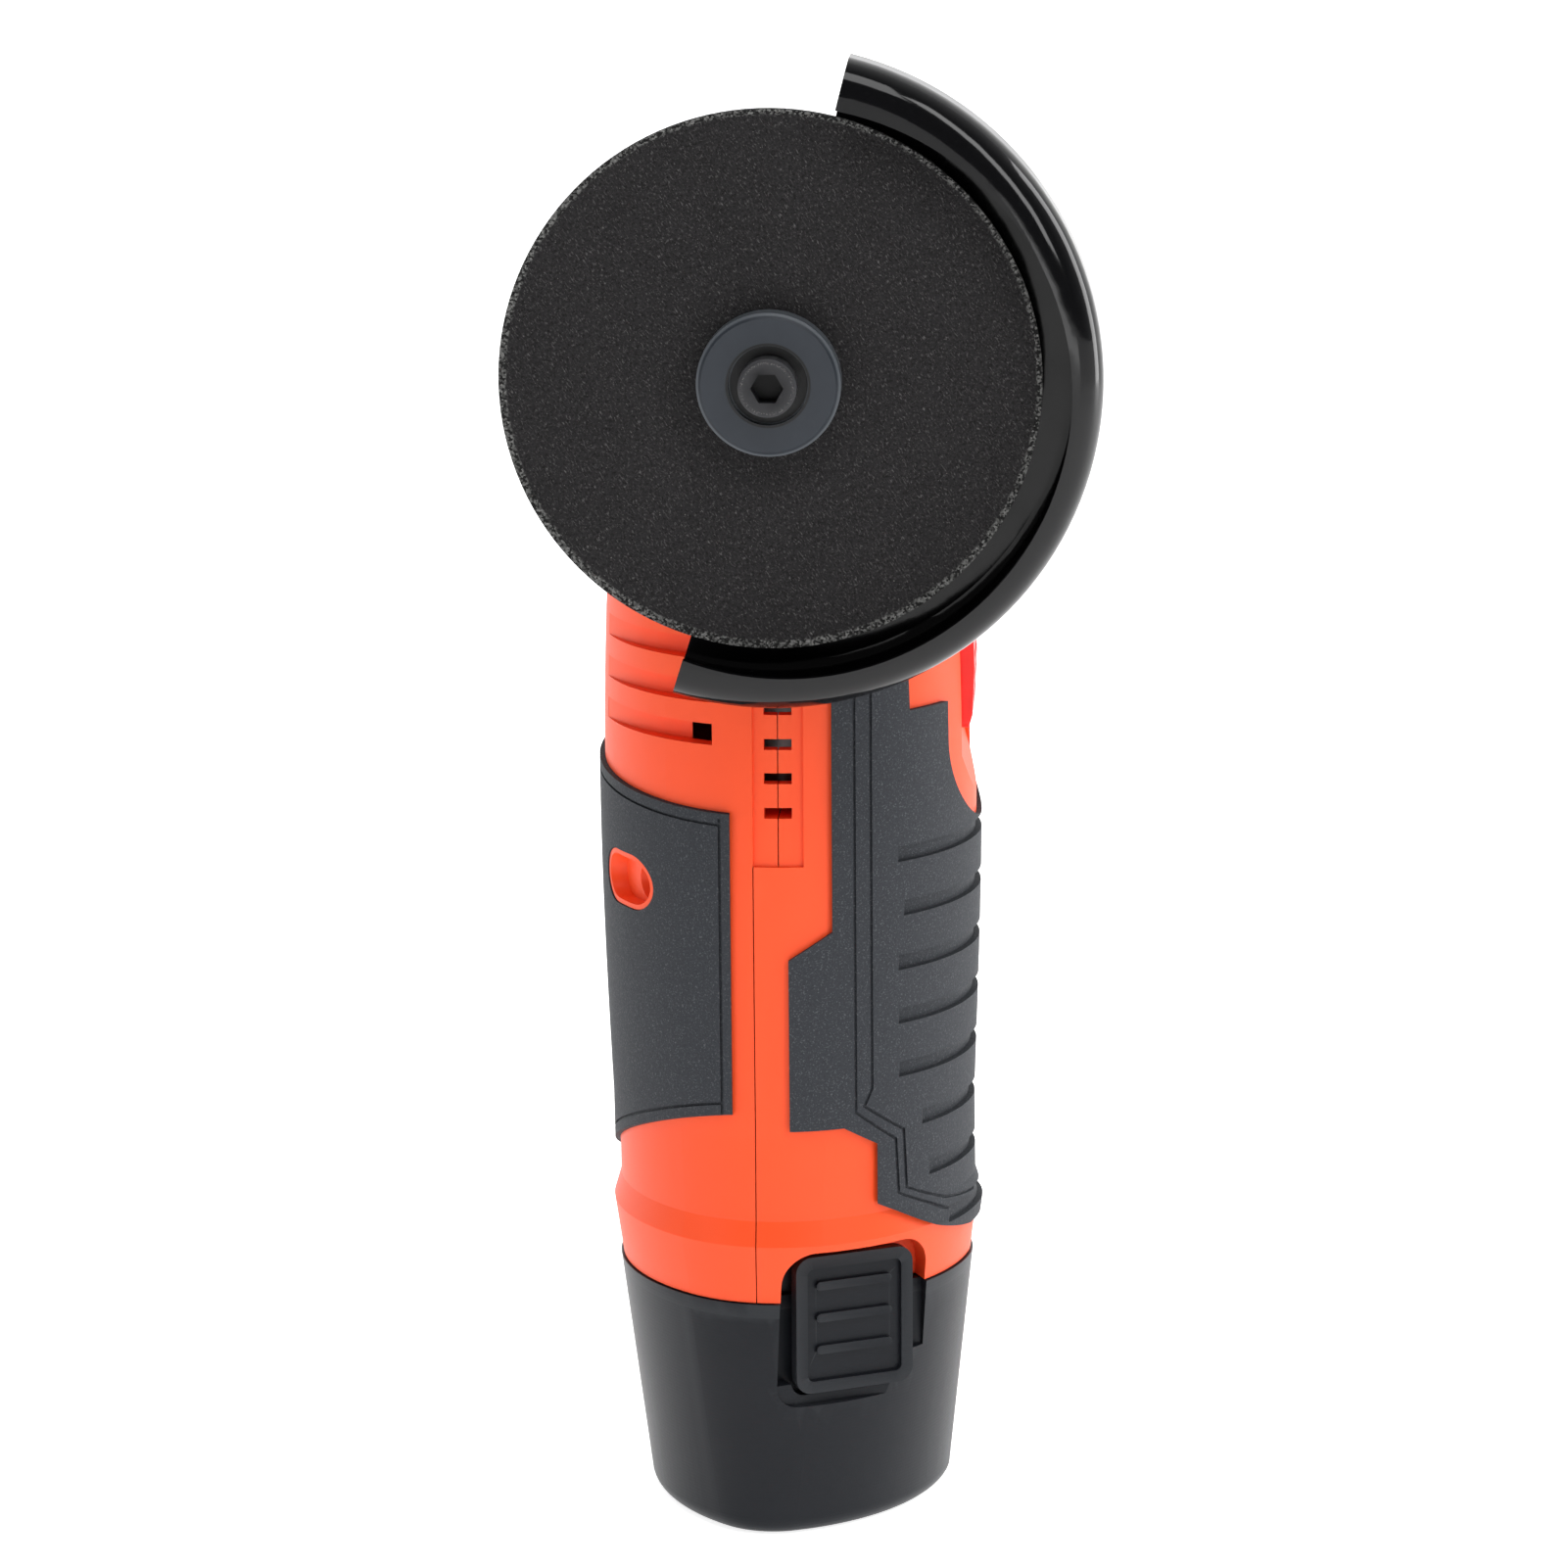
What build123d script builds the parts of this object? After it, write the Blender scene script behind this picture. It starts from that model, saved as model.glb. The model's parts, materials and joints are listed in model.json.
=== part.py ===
from build123d import *
from math import atan, cos, hypot, radians, sin, sqrt
import os

# Compact battery angle grinder, standing on the flat base of its slide-in pack.
# Units are millimetres. Origin: centre of the pack's base. +Z runs up the body,
# -Y points from the body to the disc, +X is the side with the slide switch.

os.makedirs("parts", exist_ok=True)

# ---- driving dimensions ---------------------------------------------------
SPINDLE_Z = 175.5        # height of the spindle axis
DISC_R = 38.0            # 76 mm disc
DISC_FRONT = -38.8       # front face of the disc
DISC_T = 1.2
PACK_TOP = 37.0          # where the pack meets the housing
HOUSING_TOP = 150.0      # where the housing meets the gear case
WALL = 2.6               # housing wall
GRIP_PROUD = 0.8         # rubber above the housing surface
GRIP_SINK = 1.2          # rubber below the housing surface
PARTING_STEP_Z = 103.0   # parting plane shifts sideways below this height
PARTING_LOW_X = -3.65
FRONT_LOBE = -10.0       # azimuth of the front lobe, from -Y towards +X
LATCH_FRONT = 26.0       # azimuth of the front release button
LATCH_BACK = 194.0       # the rear one mirrors it about the pack's plane
CELL_R = 9.2
CELL_SPREAD = 10.9       # cell centres from the axis
STEM_R = 10.4
STEM_TOP = 84.0
FAR = 60.0               # beyond every surface of the tool

# height, lobe spread, half width of the three-lobed outline
PACK_FORM = [(0, 12.9, 21.9), (37, 8.0, 26.1)]
COLLAR_FORM = [(37, 8.0, 26.1), (46, 7.0, 27.3), (49.6, 6.5, 26.2), (62, 5.0, 26.2)]
BODY_FORM = [(62, 5.0, 26.2), (88, 3.7, 27.1), (118, 2.8, 27.4), (150, 1.5, 26.0)]


# ---- helpers --------------------------------------------------------------
def heading(azimuth, distance=1.0):
    """Point at a distance along an azimuth measured from -Y towards +X."""
    a = radians(azimuth)
    return (distance * sin(a), -distance * cos(a))


def shifted(centre, azimuth, distance):
    step = heading(azimuth, distance)
    return (centre[0] + step[0], centre[1] + step[1])


def lobed_face(spread, radius, height):
    """Level face with three round lobes joined by wide arcs, of constant width."""
    wide = radius + spread * sqrt(3)
    with BuildSketch(Plane.XY.offset(height)) as face:
        with BuildLine():
            for lobe in range(3):
                azimuth = FRONT_LOBE + 120 * lobe
                centre = heading(azimuth, spread)
                opposite = heading(azimuth + 240, spread)
                ThreePointArc(
                    shifted(centre, azimuth - 30, radius),
                    shifted(centre, azimuth, radius),
                    shifted(centre, azimuth + 30, radius),
                )
                ThreePointArc(
                    shifted(opposite, azimuth + 30, wide),
                    shifted(opposite, azimuth + 60, wide),
                    shifted(opposite, azimuth + 90, wide),
                )
        make_face()
    return face.sketch


def lobed_prism(spread, radius, low, high, mode=Mode.ADD):
    extrude(lobed_face(spread, radius, low), amount=high - low, mode=mode)


def stacked(sections, grow, ruled):
    """Loft through three-lobed outlines, grown or shrunk by a distance."""
    outlines = [
        lobed_face(spread, half_width - spread * sqrt(3) / 2 + grow, height)
        for height, spread, half_width in sections
    ]
    loft(outlines, ruled=ruled)


def body_form(grow, low, high=150.0):
    """Outer form of the housing between two heights: creased collar, smooth body."""
    with BuildPart() as form:
        stacked(COLLAR_FORM, grow, ruled=True)
        stacked(BODY_FORM, grow, ruled=False)
        slab(-FAR, FAR, -FAR, FAR, low, high, mode=Mode.INTERSECT)
    return form.part


def pack_form(grow, low, high):
    with BuildPart() as form:
        stacked(PACK_FORM, grow, ruled=True)
        slab(-FAR, FAR, -FAR, FAR, low, high, mode=Mode.INTERSECT)
    return form.part


def slab(x0, x1, y0, y1, z0, z1, mode=Mode.ADD):
    """Box between two corners."""
    with Locations(((x0 + x1) / 2, (y0 + y1) / 2, (z0 + z1) / 2)):
        Box(x1 - x0, y1 - y0, z1 - z0, mode=mode)


def along_y(z, radius, y0, y1, x=0, mode=Mode.ADD):
    """Cylinder along Y at (x, z), between two y values."""
    with Locations(Location((x, (y0 + y1) / 2, z), (90, 0, 0))):
        Cylinder(radius, abs(y1 - y0), mode=mode)


def along_x(y, z, radius, x0, x1, mode=Mode.ADD):
    with Locations(Location(((x0 + x1) / 2, y, z), (0, 90, 0))):
        Cylinder(radius, abs(x1 - x0), mode=mode)


def along_z(x, y, radius, z0, z1, mode=Mode.ADD):
    with Locations((x, y, (z0 + z1) / 2)):
        Cylinder(radius, z1 - z0, mode=mode)


def latch_plane(azimuth):
    """Plane facing out of the body at an azimuth: x is sideways, y is up."""
    a = radians(azimuth)
    return Plane(origin=(0, 0, 0), x_dir=(cos(a), sin(a), 0), z_dir=(sin(a), -cos(a), 0))


def latch_block(azimuth, half_width, low, high, depth0, depth1, corner=0.0, shift=0.0, mode=Mode.ADD):
    """Upright block on a latch plane, with rounded corners seen from outside."""
    with BuildSketch(latch_plane(azimuth).offset(depth0)) as face:
        with Locations((shift, (low + high) / 2)):
            if corner:
                RectangleRounded(2 * half_width, high - low, corner)
            else:
                Rectangle(2 * half_width, high - low)
    extrude(face.sketch, amount=depth1 - depth0, mode=mode)


def save(node, label):
    node.label = label
    export_step(node, "parts/" + label + ".step")


def well_slots(radius, x0, x1, mode=Mode.ADD):
    """Slots around both upper screw wells, longer from front to back."""
    for side in (-1, 1):
        for y in (12.8, 16.8):
            along_x(side * y, 98.0, radius, x0, x1, mode=mode)
        y0, y1 = sorted((side * 12.8, side * 16.8))
        slab(x0, x1, y0, y1, 98.0 - radius, 98.0 + radius, mode=mode)


FORM = body_form(0, PACK_TOP + 0.2)
FORM_INNER = body_form(-WALL, 46.0)
FORM_GRIP = body_form(GRIP_PROUD, PACK_TOP)
FORM_COLLAR = body_form(GRIP_PROUD - 0.2, PACK_TOP)
FORM_LINE = body_form(0.45, PACK_TOP)
FORM_GROOVE = body_form(-0.1, PACK_TOP)
FORM_PANEL = body_form(-0.5, PACK_TOP)
FORM_POCKET = body_form(-GRIP_SINK, PACK_TOP)
FORM_VENT = body_form(-1.7, PACK_TOP)
FORM_PACK = pack_form(0.4, 0, PACK_TOP)
FORM_PACK_INNER = pack_form(-1.8, 2.6, 36.0)

# ---- regions of the rubber grips, seen from the front ---------------------

with BuildPart() as left_region:
    with BuildSketch(Plane.XZ):
        with BuildLine():
            Polyline((-FAR, 130.0), (-7.0, 130.0), (-7.0, 40.0), (-FAR, 40.0), close=True)
        make_face()
    extrude(amount=FAR, both=True)
    # lower edge climbs towards the front, upper edge drops a little
    with BuildSketch(Plane.YZ.offset(-FAR)):
        with BuildLine():
            Polyline((-FAR, 80.0), (FAR, 28.8), (FAR, 20.0), (-FAR, 20.0), close=True)
        make_face()
        with BuildLine():
            Polyline((-FAR, 106.9), (FAR, 121.3), (FAR, 135.0), (-FAR, 135.0), close=True)
        make_face()
    extrude(amount=FAR, mode=Mode.SUBTRACT)
    slab(-7.0, 0, 0, FAR, 20, 120, mode=Mode.SUBTRACT)
    slab(-FAR, 0, 0, FAR, 20, 48.0, mode=Mode.SUBTRACT)

with BuildPart() as right_region:
    with BuildSketch(Plane.XZ):
        with BuildLine():
            Polyline(
                (7.7, 146.0), (7.7, 93.2), (1.4, 89.2), (1.4, 63.4), (9.2, 63.4), (13.9, 60.4),
                (13.9, 51.2), (22.9, 45.6), (27.0, 43.2), (FAR, 43.2), (FAR, 146.0),
                close=True,
            )
        make_face()
    extrude(amount=FAR, both=True)
    # orange field around the slide switch
    with BuildSketch(Plane.YZ):
        with Locations((0, 119)):
            Ellipse(14, 14)
        with Locations((0, 139)):
            Rectangle(28, 40)
        with Locations((0, 144.7)):
            Rectangle(41, 40)
    extrude(amount=FAR, mode=Mode.SUBTRACT)
    slab(1.0, 7.7, 0, FAR, 40, 150, mode=Mode.SUBTRACT)

# horizontal finger grooves around the right grip
GROOVES = [103.7 - 8.15 * k for k in range(8)]
GROOVE_FRONT_X = [17.0, 17.8, 17.0, 17.0, 17.0, 20.2, 21.2, 24.0]

# fine grooves that frame the raised fields of both grips
LINE = 0.4
with BuildPart() as grip_lines:
    with BuildSketch(Plane.XZ):
        with BuildLine() as left_frame:
            Line((-8.5, 110.0), (-8.5, 40.0))
        trace(left_frame.line, line_width=LINE)
        with BuildLine() as right_inner:
            Polyline((13.2, 144.0), (13.2, 69.0), (12.1, 66.4), (17.6, 61.8), (18.0, 52.8), (23.3, 49.3), (40.0, 44.0))
        trace(right_inner.line, line_width=LINE)
        with BuildLine() as right_outer:
            Polyline((10.9, 144.0), (10.9, 65.6), (16.5, 60.6), (16.9, 52.2), (23.3, 47.9), (40.0, 42.0))
        trace(right_outer.line, line_width=LINE)
    extrude(amount=FAR, both=True)
    # lower line of the left frame follows the climbing edge
    with BuildSketch(Plane.YZ.offset(-FAR)):
        with BuildLine() as climbing:
            Line((-FAR, 81.7), (FAR, 30.5))
        trace(climbing.line, line_width=LINE)
        with BuildLine() as dropping:
            Line((-FAR, 105.2), (FAR, 119.6))
        trace(dropping.line, line_width=LINE)
    extrude(amount=FAR - 8.5)
    slab(-8.3, 0, -FAR, FAR, 30, 150, mode=Mode.SUBTRACT)
    add(FORM_LINE, mode=Mode.SUBTRACT)

with BuildPart() as left_grip:
    add(FORM_GRIP)
    add(FORM_POCKET, mode=Mode.SUBTRACT)
    add(left_region.part, mode=Mode.INTERSECT)
    add(grip_lines.part, mode=Mode.SUBTRACT)
    well_slots(4.15, -FAR, 0, mode=Mode.SUBTRACT)
    along_x(21.2, 60.0, 3.0, -FAR, 0, mode=Mode.SUBTRACT)

with BuildPart() as groove_cuts:
    for height, front_x in zip(GROOVES, GROOVE_FRONT_X):
        slab(front_x, FAR, -FAR, FAR, height - 1.15, height + 1.15)
    add(FORM_GROOVE, mode=Mode.SUBTRACT)

with BuildPart() as right_grip:
    add(FORM_GRIP)
    add(FORM_POCKET, mode=Mode.SUBTRACT)
    add(right_region.part, mode=Mode.INTERSECT)
    add(grip_lines.part, mode=Mode.SUBTRACT)
    add(groove_cuts.part, mode=Mode.SUBTRACT)

# ---- housing shells -------------------------------------------------------
# y, z, seat of the screw head, boss radius, head radius
HOUSING_SCREWS = [
    (-17.0, 98.0, -10.0, 3.9, 2.7),
    (17.0, 98.0, -10.0, 3.9, 2.7),
    (21.2, 60.0, -11.0, 2.3, 2.0),
    (-20.3, 143.0, -9.0, 3.0, 2.2),
    (20.3, 143.0, -9.0, 3.0, 2.2),
]
SCREW_END_X = 9.0
CASE_SCREWS = [(21.3, 8.0), (-21.3, 8.0), (21.3, -8.0), (-21.3, -8.0)]

# inner pad behind the slide switch, rings that hold the motor, screw bosses
with BuildPart() as inner_features:
    slab(21.4, 30.0, -12.0, 12.0, 100.0, HOUSING_TOP)
    for low in (110.0, 134.0):
        along_z(0, 0, 28.0, low, low + 2.0)
    for y, z, seat, boss_r, head_r in HOUSING_SCREWS:
        along_x(y, z, boss_r, -28, 28)
    for x, y in CASE_SCREWS:
        along_z(x, y, 2.9, 138.0, HOUSING_TOP)
    add(FORM_PANEL, mode=Mode.INTERSECT)
    along_z(0, 0, 16.05, 104.0, HOUSING_TOP + 1, mode=Mode.SUBTRACT)

# sleeves that bring the two upper screw wells up through the rubber
with BuildPart() as well_collars:
    well_slots(4.05, -FAR, -8.0)
    add(FORM_COLLAR, mode=Mode.INTERSECT)
    add(FORM_POCKET, mode=Mode.SUBTRACT)

# dished mouths of the same wells
with BuildPart() as well_mouths:
    well_slots(3.35, -FAR, -8.0)
    add(FORM_VENT, mode=Mode.SUBTRACT)

with BuildPart() as grip_pockets:
    add(left_region.part)
    add(right_region.part)
    add(FORM_GRIP, mode=Mode.INTERSECT)
    add(FORM_POCKET, mode=Mode.SUBTRACT)

with BuildPart() as panel_cut:
    slab(-3.65, 3.65, -FAR, 0, PARTING_STEP_Z, HOUSING_TOP)
    add(FORM_PANEL, mode=Mode.SUBTRACT)

# air inlets: scoops that deepen towards the middle of each side until they open
VENT_HEIGHTS = (120.6, 126.8, 133.0)


def scoops(x0, x1, y0, y1, sink):
    """Stack of scoops; their floors follow the body's form, moved inwards by sink."""
    with BuildPart() as cut:
        for height in VENT_HEIGHTS:
            slab(x0, x1, y0, y1, height, height + 3.1)
        add(Pos(*sink, 0) * FORM, mode=Mode.SUBTRACT)
    return cut.part


front_scoops = scoops(-26.0, -9.5, -FAR, -7.0, (-1.3, 3.7))
back_scoops = scoops(-26.0, -9.5, 7.0, FAR, (-1.3, -3.7))
right_scoops = scoops(9.5, 21.5, 15.0, FAR, (1.0, -3.4))

with BuildPart() as hollow_body:
    add(FORM)
    add(FORM_INNER, mode=Mode.SUBTRACT)
    lobed_prism(CELL_SPREAD, STEM_R + 0.5, PACK_TOP - 1, 47.0, mode=Mode.SUBTRACT)
    add(inner_features.part)
    # room for the switch rod past the motor rings
    slab(16.5, 21.4, -6.5, 6.5, 104.0, 147.0, mode=Mode.SUBTRACT)
    add(grip_pockets.part, mode=Mode.SUBTRACT)
    add(well_collars.part)
    # recessed centre panel with its slots
    add(panel_cut.part, mode=Mode.SUBTRACT)
    for height in (110.9, 116.0, 121.0, 126.1, 131.1):
        slab(-2.0, 2.0, -FAR, -20.0, height - 0.8, height + 0.8, mode=Mode.SUBTRACT)
    for scoop in (front_scoops, back_scoops, right_scoops):
        add(scoop, mode=Mode.SUBTRACT)
    # scooped pocket and slot of the slide switch
    with BuildSketch(Plane.XZ.offset(-8.6)):
        with BuildLine():
            Polyline((29.0, 103.5), (25.0, 118.4), (24.6, 130.0), (24.6, 143.5), (29.0, 147.5), close=True)
        make_face()
    extrude(amount=17.2, mode=Mode.SUBTRACT)
    slab(20.0, FAR, -5.0, 5.0, 123.3, 137.9, mode=Mode.SUBTRACT)
    # wells and pilot holes of the housing screws
    for y, z, seat, boss_r, head_r in HOUSING_SCREWS:
        along_x(y, z, head_r + 0.25, -FAR, seat, mode=Mode.SUBTRACT)
        along_x(y, z, 1.3, seat - 1, SCREW_END_X + 0.5, mode=Mode.SUBTRACT)
    add(well_mouths.part, mode=Mode.SUBTRACT)
    for x, y in CASE_SCREWS:
        along_z(x, y, 1.3, 140.0, HOUSING_TOP + 1, mode=Mode.SUBTRACT)
    # notches that leave room for the pack's release buttons
    for azimuth in (LATCH_FRONT, LATCH_BACK):
        latch_block(azimuth, 12.0, 26.0, 44.9, 18.6, 40.0, corner=5.0, mode=Mode.SUBTRACT)


def shell_half(side):
    """Half of the hollow body; side -1 is the screw-head side."""
    with BuildPart() as half:
        slab(*sorted((PARTING_LOW_X + side * 0.08, side * FAR)), -FAR, FAR, 0, PARTING_STEP_Z)
        slab(*sorted((side * 0.08, side * FAR)), -FAR, FAR, PARTING_STEP_Z, 200)
        add(hollow_body.part, mode=Mode.INTERSECT)
    return half.part


left_shell = shell_half(-1)
right_shell = shell_half(1)

with BuildPart() as housing_screws:
    for y, z, seat, boss_r, head_r in HOUSING_SCREWS:
        along_x(y, z, head_r, seat - 2.0, seat)
        along_x(y, z, 1.25, seat, SCREW_END_X)
        with BuildSketch(Plane.YZ.offset(seat - 2.0)):
            with Locations((y, z)):
                RegularPolygon(1.2, 6)
        extrude(amount=1.3, mode=Mode.SUBTRACT)

# ---- slide switch ---------------------------------------------------------
with BuildPart() as switch_knob:
    with BuildSketch(Plane.XZ.offset(-7.0)):
        with BuildLine():
            Polyline((25.2, 119.0), (26.7, 119.0), (27.3, 121.0), (27.6, 128.0), (27.3, 137.0),
                     (25.2, 137.4), close=True)
        make_face()
    extrude(amount=14.0)
    fillet(switch_knob.edges().filter_by(Axis.X), 1.2)
    for height in (123.5, 126.5, 129.5, 132.5):
        slab(27.0, 29.0, -5.2, 5.2, height - 0.5, height + 0.5, mode=Mode.SUBTRACT)
    slab(21.0, 25.6, -4.6, 4.6, 124.0, 132.0)

with BuildPart() as switch_rod:
    slab(19.2, 21.0, -5.8, 5.8, 121.0, 135.0)
    slab(18.2, 19.6, -2.0, 2.0, 106.0, 123.0)

with BuildPart() as power_switch:
    slab(11.5, 20.0, -5.0, 5.0, 88.0, 104.0)
    fillet(power_switch.edges().filter_by(Axis.Z), 0.8)
    slab(18.0, 19.6, -1.6, 1.6, 104.0, 105.4)
    slab(13.0, 14.0, -3.5, 3.5, 85.5, 88.0)
    slab(17.0, 18.0, -3.5, 3.5, 85.5, 88.0)

# ---- electronics in the handle -------------------------------------------
with BuildPart() as control_board:
    slab(-19.0, 10.5, -11.0, 11.0, 96.0, 97.6)
    slab(-15.0, -7.0, -6.0, 6.0, 97.6, 100.8)
    slab(-4.0, 2.0, -9.0, -3.0, 97.6, 99.2)
    slab(-4.0, 2.0, 3.0, 9.0, 97.6, 99.2)
    along_z(6.5, 0, 3.2, 97.6, 103.4)

with BuildPart() as terminal_block:
    slab(-10.0, 10.0, -7.5, 7.5, 86.2, 92.0)
    fillet(terminal_block.edges().filter_by(Axis.Z), 1.5)
    for x in (-6.0, 0.0, 6.0):
        slab(x - 0.4, x + 0.4, -2.6, 2.6, 76.0, 86.2)
        slab(x - 0.4, x + 0.4, -1.6, 1.6, 92.0, 95.5)

# ---- motor ----------------------------------------------------------------
with BuildPart() as motor_can:
    along_z(0, 0, 16.0, 106.0, 140.0)
    along_z(0, 0, 14.4, 108.0, 141.0, mode=Mode.SUBTRACT)
    along_z(0, 0, 7.5, 108.0, 112.4)
    along_z(0, 0, 6.5, 108.2, 113.0, mode=Mode.SUBTRACT)
    along_z(0, 0, 3.2, 105.0, 109.0, mode=Mode.SUBTRACT)
    with PolarLocations(11.2, 6):
        Cylinder(1.9, 300, mode=Mode.SUBTRACT)

with BuildPart() as stator_core:
    along_z(0, 0, 14.38, 116.0, 134.0)
    along_z(0, 0, 8.6, 115.0, 135.0, mode=Mode.SUBTRACT)
    with BuildSketch(Plane.XY.offset(116.0)):
        with PolarLocations(0, 6, start_angle=30):
            with Locations((11.4, 0)):
                Rectangle(3.2, 5.2)
            with Locations((9.2, 0)):
                Rectangle(1.6, 1.4)
    extrude(amount=18.0, mode=Mode.SUBTRACT)

with BuildPart() as stator_coils:
    with BuildSketch(Plane.XY.offset(114.2)):
        with PolarLocations(0, 6, start_angle=30):
            with Locations((11.4, 0)):
                Rectangle(2.9, 4.9)
    extrude(amount=21.6)

with BuildPart() as motor_end_cap:
    along_z(0, 0, 16.0, 140.0, 142.0)
    along_z(0, 0, 14.3, 137.0, 140.0)
    along_z(0, 0, 12.6, 136.9, 139.0, mode=Mode.SUBTRACT)
    along_z(0, 0, 4.0, 136.0, 143.0, mode=Mode.SUBTRACT)
    with PolarLocations(10.0, 8):
        Cylinder(1.8, 400, mode=Mode.SUBTRACT)


def ball_bearing(inner, outer, width):
    """Ball bearing on the Z axis, centred, with shields set in from both faces."""
    with BuildPart() as bearing:
        Cylinder(outer, width)
        Cylinder(inner, width, mode=Mode.SUBTRACT)
        step = (outer - inner) / 4
        for side in (-1, 1):
            with Locations((0, 0, side * width / 2)):
                Cylinder(outer - step, 0.6, mode=Mode.SUBTRACT)
                Cylinder(inner + step, 0.6)
                Cylinder(inner, 0.6, mode=Mode.SUBTRACT)
        Cylinder(inner, 2 * width, mode=Mode.SUBTRACT)
        Cylinder(outer, width, mode=Mode.INTERSECT)
    return bearing.part


motor_rear_bearing = Pos(0, 0, 110.3) * ball_bearing(2.54, 6.45, 4.0)
motor_front_bearing = Pos(0, 0, 153.6) * ball_bearing(2.54, 7.95, 5.0)

with BuildPart() as motor_shaft:
    along_z(0, 0, 2.5, 106.8, 168.0)
    chamfer(motor_shaft.edges().group_by(Axis.Z)[-1], 0.4)

with BuildPart() as rotor_core:
    along_z(0, 0, 6.6, 116.0, 134.0)
    along_z(0, 0, 2.5, 115.0, 135.0, mode=Mode.SUBTRACT)

with BuildPart() as rotor_magnets:
    along_z(0, 0, 8.1, 116.5, 133.5)
    along_z(0, 0, 6.6, 116.0, 134.0, mode=Mode.SUBTRACT)
    with PolarLocations(7.4, 4):
        Box(3.0, 0.6, 400, mode=Mode.SUBTRACT)

with BuildPart() as cooling_fan:
    along_z(0, 0, 16.0, 143.0, 144.2)
    along_z(0, 0, 5.0, 143.0, 149.0)
    with BuildSketch(Plane.XY.offset(144.2)):
        with PolarLocations(0, 9):
            with Locations(Location((10.4, 0, 0), (0, 0, 24))):
                Rectangle(10.0, 1.0)
    extrude(amount=4.4)
    along_z(0, 0, 2.5, 142.0, 150.0, mode=Mode.SUBTRACT)

# ---- bevel gears ----------------------------------------------------------
PINION_TEETH = 12
DRIVEN_TEETH = 24
MODULE = 26.0 / DRIVEN_TEETH
PINION_PITCH_R = MODULE * PINION_TEETH / 2
DRIVEN_PITCH_R = MODULE * DRIVEN_TEETH / 2
CONE = hypot(PINION_PITCH_R, DRIVEN_PITCH_R)
FACE_WIDTH = 5.0
ADDENDUM = 0.8
DEDENDUM = 1.05


def bevel_gear(teeth, pitch_r, hub_r, hub_length, bore_r):
    """Straight bevel gear: apex at the origin, large end towards +Z, a tooth centred on +X."""
    cone_angle = atan(pitch_r / sqrt(CONE**2 - pitch_r**2))
    outward = (sin(cone_angle), cos(cone_angle))
    small = (CONE - FACE_WIDTH) / CONE

    def on_cone(height):
        return (
            CONE * outward[0] + height * outward[1],
            CONE * outward[1] - height * outward[0],
        )

    root_r, root_z = on_cone(-DEDENDUM)
    with BuildPart() as tooth:
        for scale in (1.0, small):
            origin = (CONE * scale * outward[0], 0, CONE * scale * outward[1])
            plane = Plane(origin=origin, x_dir=(0, 1, 0), z_dir=(outward[0], 0, outward[1]))
            with BuildSketch(plane):
                with BuildLine():
                    Polyline(
                        (-0.98 * scale, (DEDENDUM + 0.25) * scale),
                        (-0.34 * scale, -ADDENDUM * scale),
                        (0.34 * scale, -ADDENDUM * scale),
                        (0.98 * scale, (DEDENDUM + 0.25) * scale),
                        close=True,
                    )
                make_face()
        loft(ruled=True)
    with BuildPart() as gear:
        with BuildSketch(Plane.XZ):
            with BuildLine():
                Polyline(
                    (bore_r, root_z * small),
                    (root_r * small, root_z * small),
                    (root_r, root_z),
                    (root_r, root_z + 1.2),
                    (hub_r, root_z + 2.2),
                    (hub_r, root_z + hub_length),
                    (bore_r, root_z + hub_length),
                    close=True,
                )
            make_face()
        revolve(axis=Axis.Z)
        with PolarLocations(0, teeth):
            add(tooth.part)
    return gear.part


pinion = bevel_gear(PINION_TEETH, PINION_PITCH_R, 4.6, 4.0, 2.52)
pinion = Rot(0, 0, 180 / PINION_TEETH) * pinion
pinion_frame = Plane(origin=(0, 0, SPINDLE_Z), x_dir=(0, 1, 0), z_dir=(0, 0, -1))
pinion_gear = pinion_frame.location * pinion

driven = bevel_gear(DRIVEN_TEETH, DRIVEN_PITCH_R, 13.0, 4.6, 4.02)
driven_frame = Plane(origin=(0, 0, SPINDLE_Z), x_dir=(0, 0, -1), z_dir=(0, 1, 0))
LOCK_R = 10.4
with BuildPart() as driven_gear:
    add(driven_frame.location * driven)
    for quarter in range(4):
        a = radians(90 * quarter)
        along_y(SPINDLE_Z + LOCK_R * cos(a), 1.9, 8.6, 20.0, x=LOCK_R * sin(a), mode=Mode.SUBTRACT)

# ---- gear case ------------------------------------------------------------
COVER_SCREWS = [(15.4, 15.4), (-15.4, 15.4), (15.4, -15.4), (-15.4, -15.4)]
LOCK_Z = SPINDLE_Z + LOCK_R

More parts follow.
